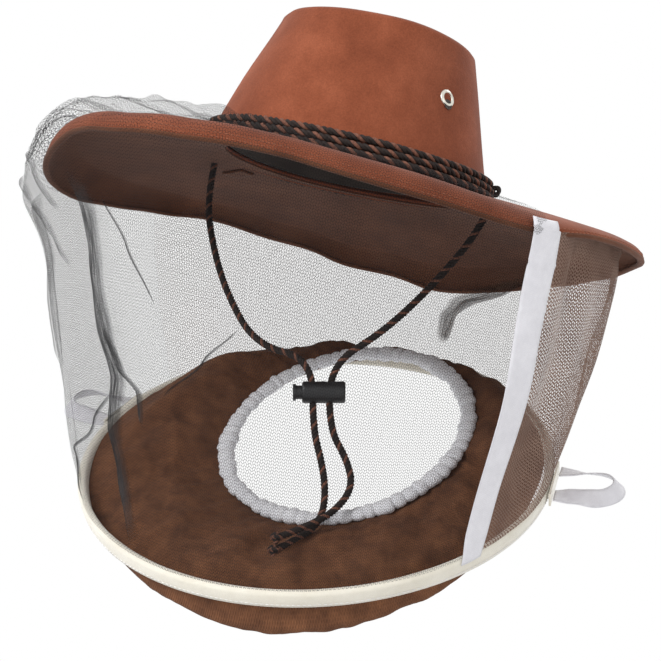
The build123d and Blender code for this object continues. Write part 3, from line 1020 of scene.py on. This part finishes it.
def strip_sides(columns):
    """Places across a strip, from 1 at one edge to -1 at the other."""
    return [1 - 2 * j / columns for j in range(columns + 1)]


def strip_row(angle, width, down, columns, lift_at):
    """One row of a strip that lies on the veil: lift_at(side) is its height above the net."""
    half = degrees(width / 2 / mix(NET_TOP_R, HOOP_R, down))
    return [veil_point(angle + half * side, down, lift_at(side)) for side in strip_sides(columns)]


def side_tape():
    """The white tape down the wearer's left, from the top of the brim to the casing."""
    columns, drop_rows, brim_rows, brim_part = 8, 90, 10, 0.16
    rows, weights = [], []
    half = degrees(0.95 * TAPE_WIDTH / 2 / NET_TOP_R)
    for i in range(brim_rows):
        share = mix(1 - brim_part, 1.0, i / brim_rows)
        angles = [TAPE_BRIM_ANGLE + half * side for side in strip_sides(columns)]
        rows.append([brim_shape(angle, share, 3.6 * MM) for angle in angles])
        weights.append(0.0)
    for i in range(drop_rows + 1):
        down = i / drop_rows
        seams = 0.7 * MM * sum(bell((down - seam) / 0.006) for seam in (0.10, 0.235))
        width = TAPE_WIDTH * mix(0.95, 0.72, down)
        rows.append(strip_row(mix(TAPE_BRIM_ANGLE, TAPE_HOOP_ANGLE, down), width, down, columns,
                              lambda side: 1.6 * MM + 0.5 * MM * sin(9 * down + 2 * side) + seams))
        weights.append(down)
    tape = grid("white_side_tape", rows, WHITE_TAPE)
    thicken(tape, 0.6 * MM, 0.0)
    bend_by_row(tape)
    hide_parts("side_tape")


def along_path(path, down):
    """The angle and width of a path, from (down, angle, width in mm) rows."""
    for (d0, a0, w0), (d1, a1, w1) in zip(path, path[1:]):
        if down <= d1:
            share = (down - d0) / (d1 - d0)
            t = smooth(share) * 0.5 + 0.5 * share
            return mix(a0, a1, t), mix(w0, w1, t) * MM
    return path[-1][1], path[-1][2] * MM


def gathered_strip(name, path, material, depth, node=None, columns=8):
    """A bunched fold that follows a path down the veil; one that stands for a node has untapered ends."""
    first, last = path[0][0], path[-1][0]
    count = max(12, round((last - first) * 110))
    across = [sqrt(max(0.0, 1 - side ** 2)) for side in strip_sides(columns)]
    rows, weights, cover = [], [], []
    for i in range(count + 1):
        share = i / count
        down = mix(first, last, share)
        angle, width = along_path(path, down)
        taper = 1.0 if node else smooth(share / 0.12) * smooth((1 - share) / 0.12)

        def lift_at(side):
            bulge = depth * (1 - side * side) * taper
            return 0.6 * MM + bulge + 0.25 * depth * wobble(down * 14, side * 2.2, 0, 3.0) * taper

        rows.append(strip_row(angle, width * mix(0.25, 1.0, taper), down, columns, lift_at))
        weights.append(down)
        end = smooth(share / 0.15) * smooth((1 - share) / 0.15)
        cover += [value * end for value in across]
    strip = grid(name, rows, material)
    set_points(strip, "soft_edge", cover)
    bend_by_row(strip)
    if node:
        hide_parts(node)


# The paths of the folds: (share of the way down, angle, width in millimetres)
MAIN_FOLD = [
    (0.10, -18.5, 12), (0.20, -16, 20), (0.34, -15, 19), (0.48, -12.5, 17), (0.58, -9.5, 15),
    (0.71, -12, 13), (0.80, -9.5, 11), (0.98, -6, 8),
]
FOLD_BRANCH = [(0.46, -13, 6), (0.56, -8.5, 8), (0.60, -2.5, 7), (0.68, -2, 4)]
CREASES = [
    [(0.60, -11, 3), (0.72, -20, 4), (0.88, -38, 4), (0.97, -29, 3)],
    [(0.16, -11, 2), (0.27, -5, 2.6), (0.40, 2.5, 1.5)],
    [(0.40, 20, 2), (0.49, 12.5, 2.6), (0.60, 4, 1.5)],
]
SOFT_FOLDS = [
    [(0.0, -55, 16), (0.12, -46, 20), (0.21, -36, 15), (0.36, -24, 6)],
    [(0.0, -40, 12), (0.10, -32, 14), (0.22, -25, 8)],
    [(0.0, -66, 12), (0.2, -62, 20), (0.45, -59, 14), (0.7, -57, 6)],
]
SLACK_FOLD = [(0.02, -195, 46), (0.2, -181, 34), (0.36, -174, 24), (0.51, -171.5, 16), (0.82, -172, 9)]

side_tape()
gathered_strip("gathered_fold", MAIN_FOLD, BLACK_FOLD, 5 * MM, "side_fold")
gathered_strip("fold_branch", FOLD_BRANCH, BLACK_FOLD, 3 * MM)
for number, path in enumerate(CREASES, 1):
    gathered_strip(f"net_crease_{number}", path, BLACK_FOLD, 1.5 * MM, columns=4)
for number, path in enumerate(SOFT_FOLDS, 1):
    gathered_strip(f"soft_fold_{number}", path, SOFT_FOLD, 2.5 * MM)
gathered_strip("slack_fold", SLACK_FOLD, BROWN_FOLD, 5 * MM)


# ---- hoop and casing ------------------------------------------

# The casing's section: shares of its width and of half its height
CASING_OUTLINE = [
    (-0.42, -1.0), (-0.5, -0.6), (-0.5, 0.4), (-0.35, 0.86), (0.0, 1.0), (0.35, 0.86),
    (0.5, 0.4), (0.5, -0.6), (0.42, -1.0), (0.30, -1.02), (0.0, -0.98), (-0.30, -1.02),
]


def casing():
    """The tape folded over the hoop wire, a little uneven along its length."""
    steps, rows = 300, []
    for across, up in CASING_OUTLINE:
        row = []
        for j in range(steps):
            angle = 360 * j / steps
            loose = 0.35 * MM * wobble(j / 7, across, up, 1.0) + 0.3 * MM * wobble(j / 23, up, across, 9.0)
            radius = HOOP_R + (across + 0.12 * up) * CASING_WIDTH + loose
            row.append(hoop.point(radius, angle, up * CASING_HEIGHT / 2 + 0.5 * loose))
        rows.append(row)
    tape = grid("casing_tape", rows, CASING_TAPE, ring=True, tube=True)
    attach(tape, "veil_hoop")
    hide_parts("hoop_casing")

    def seam(share):
        angle = 360 * share
        here = hoop.point(HOOP_R + 0.44 * CASING_WIDTH, angle, -0.62 * CASING_HEIGHT / 2)
        along = (hoop.point(HOOP_R, angle + 1) - hoop.point(HOOP_R, angle)).normalized()
        out = (hoop.point(HOOP_R + MM, angle) - hoop.point(HOOP_R, angle)).normalized()
        return here, along, out

    stitches("casing_stitches", seam, 300, 2.2 * MM, 0.25 * MM, WHITE_THREAD, "veil_hoop")


casing()


# ---- yoke, ruffle and loops -----------------------------------

def yoke_point(angle, share):
    """A point on the yoke cloth: 0 at the casing, 1 at the neck opening."""
    a = radians(angle)
    back = smooth(sin(a) * 1.3 + 0.8)
    start = hoop.point(HOOP_R + mix(0.5, -3.9, back) * MM, angle, mix(-4.5, 5.2, back) * MM)
    end = collar.point(COLLAR_R - 0.5 * MM, angle, -0.6 * MM)
    p = start.lerp(end, share)
    front = towards(angle, -78) ** 2.6
    sag = 24 * MM * front * bell((share - 0.12) / 0.10) * smooth(share / 0.08)
    shoulder = max(bell((angle % 360 - side) / 34) for side in (20, 160))
    across = sin(pi * share)
    hump = (6 + 15 * shoulder) * MM * max(0.0, across) ** 1.2
    folds = sin(a * 13 + 3.5 * wobble(sin(a) * 2, cos(a) * 2, share * 2, 6.0))
    gathers = sin(a * 44 + 3 * wobble(sin(a) * 5, cos(a) * 5, share, 2.0))
    ripple = 2.2 * MM * folds * across + 1.4 * MM * gathers * smooth((share - 0.4) / 0.5) * (1.25 - share)
    rough = 2.6 * wobble(*(p * 30), 8.0)
    rough += 3.4 * (0.3 - abs(wobble(*(p * 48), 1.0)))
    rough += 1.3 * (0.3 - abs(wobble(*(p * 110), 5.0)))
    out = hoop.point(1, angle) - hoop.point(0, angle)
    return p + hoop.z * (hump - sag + ripple + rough * MM * smooth(across / 0.5)) + out * 0.45 * sag


def yoke():
    """The cloth over the shoulders, gathered to the neck opening."""
    angles, shares = full_turn(420), 56
    rows = [[yoke_point(angle, i / shares) for angle in angles] for i in range(shares + 1)]
    cloth = grid("yoke_cloth", rows, YOKE_CLOTH, ring=True)
    thicken(cloth, 0.7 * MM, 0.0)
    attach(cloth, "veil_hoop")
    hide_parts("yoke")


yoke()


def ruffle():
    """The neck elastic in its casing, puckered all the way round."""
    sides, puckers, rows = 16, 58, []
    for k in reversed(range(sides)):
        w = TAU * k / sides
        row = []
        for angle in full_turn(1160):
            phase = puckers / 2 * radians(angle) + 1.8 * wobble(angle / 8, 0, 0, 3.0)
            pucker = abs(sin(phase)) ** 0.45
            which = floor(phase / pi)
            puff = 0.86 + 0.20 * wobble(which * 0.73, 2.1, 0.4) + 0.07 * wobble(angle * 1.3, w, 0, 2.0)
            size = mix(0.66, 1.0, pucker) * puff
            shift = 1.5 * MM * wobble(which * 0.57, 0.3, 5.0) * pucker
            across = cos(w) * RUFFLE_WIDTH / 2 * size
            height = sin(w) * 4.4 * MM * size
            row.append(collar.point(COLLAR_R + shift + across, angle, 4.0 * MM + height))
        rows.append(row)
    tube = grid("neck_ruffle_cloth", rows, RUFFLE_CLOTH, ring=True, tube=True)
    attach(tube, "veil_hoop")
    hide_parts("neck_ruffle", "neck_elastic")


ruffle()


def underarm_loop(side):
    """A soft elastic ribbon that leaves the casing and folds back to it."""
    body = "underarm_loop_" + side
    angle = 10 if side == "left" else 170
    a = radians(angle)
    out = hoop.x * cos(a) + hoop.y * sin(a)
    along = out.cross(hoop.z)
    root = hoop.point(HOOP_R + CASING_WIDTH / 2 + 2.6 * MM, angle)
    half, reach, ribbon, straight, bend = 15 * MM, 26 * MM, 12 * MM, 15, 24
    line = [(-half, reach * i / straight) for i in range(straight)]
    for i in range(bend + 1):
        w = pi * i / bend
        line.append((-half * cos(w), reach + half * sin(w)))
    line += [(half, reach * (1 - (i + 1) / straight)) for i in range(straight)]
    rows = []
    for i, (x, y) in enumerate(line):
        before, after = line[max(i - 1, 0)], line[min(i + 1, len(line) - 1)]
        direction = Vector((after[0] - before[0], after[1] - before[1], 0)).normalized()
        inward = Vector((direction.y, -direction.x, 0))
        turn = 0.9 * sin(pi * i / (len(line) - 1))
        row = []
        for k in range(7):
            w = (k / 6 - 0.5) * ribbon
            px, py = x + inward.x * w * cos(turn), y + inward.y * w * cos(turn)
            lift = w * sin(turn) + 0.8 * MM * wobble(i / 6, k / 9, 0, 4.0)
            row.append(root + along * px + out * (py + 0.8 * MM) + hoop.z * lift)
        rows.append(row)
    ribbon_piece = grid("underarm_ribbon_" + side, rows, WHITE_TAPE)
    thicken(ribbon_piece, 0.9 * MM, 0.0)
    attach(ribbon_piece, body)
    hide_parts(body)


for side in ("left", "right"):
    underarm_loop(side)


def lock_spring():
    """The spring behind the button."""
    low, high, radius, wire, turns, count = 10.5, 13.8, 3.0, 0.22, 3.5, 260
    line = []
    for i in range(count):
        t = i / (count - 1)
        spin = TAU * turns * t
        side = PLUMB * cos(spin) + PLUMB.cross(LOCK_AXIS) * sin(spin)
        line.append(LOCK_CENTRE + (side * radius + LOCK_AXIS * mix(low + wire, high - wire, t)) * MM)
    coil = twisted("button_spring", line, strand_r=wire * MM, offset=0.0, pitch=10 * MM, materials=[STEEL])
    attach(coil, "cord_lock")
    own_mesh(coil)
    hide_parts("lock_spring")


lock_spring()


# ---- materials of the CAD nodes that stay ---------------------

KEPT = {
    SWEATBAND: ["sweatband"],
    METAL: ["eyelet_left", "eyelet_right", "hoop_sleeve"],
    STEEL: ["hoop_wire"],
    CASING_TAPE: ["loop_tab_left", "loop_tab_right"],
    PLASTIC: ["lock_housing", "lock_button"],
}
for material, nodes in KEPT.items():
    for node in nodes:
        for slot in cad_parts[node].material_slots:
            slot.material = material
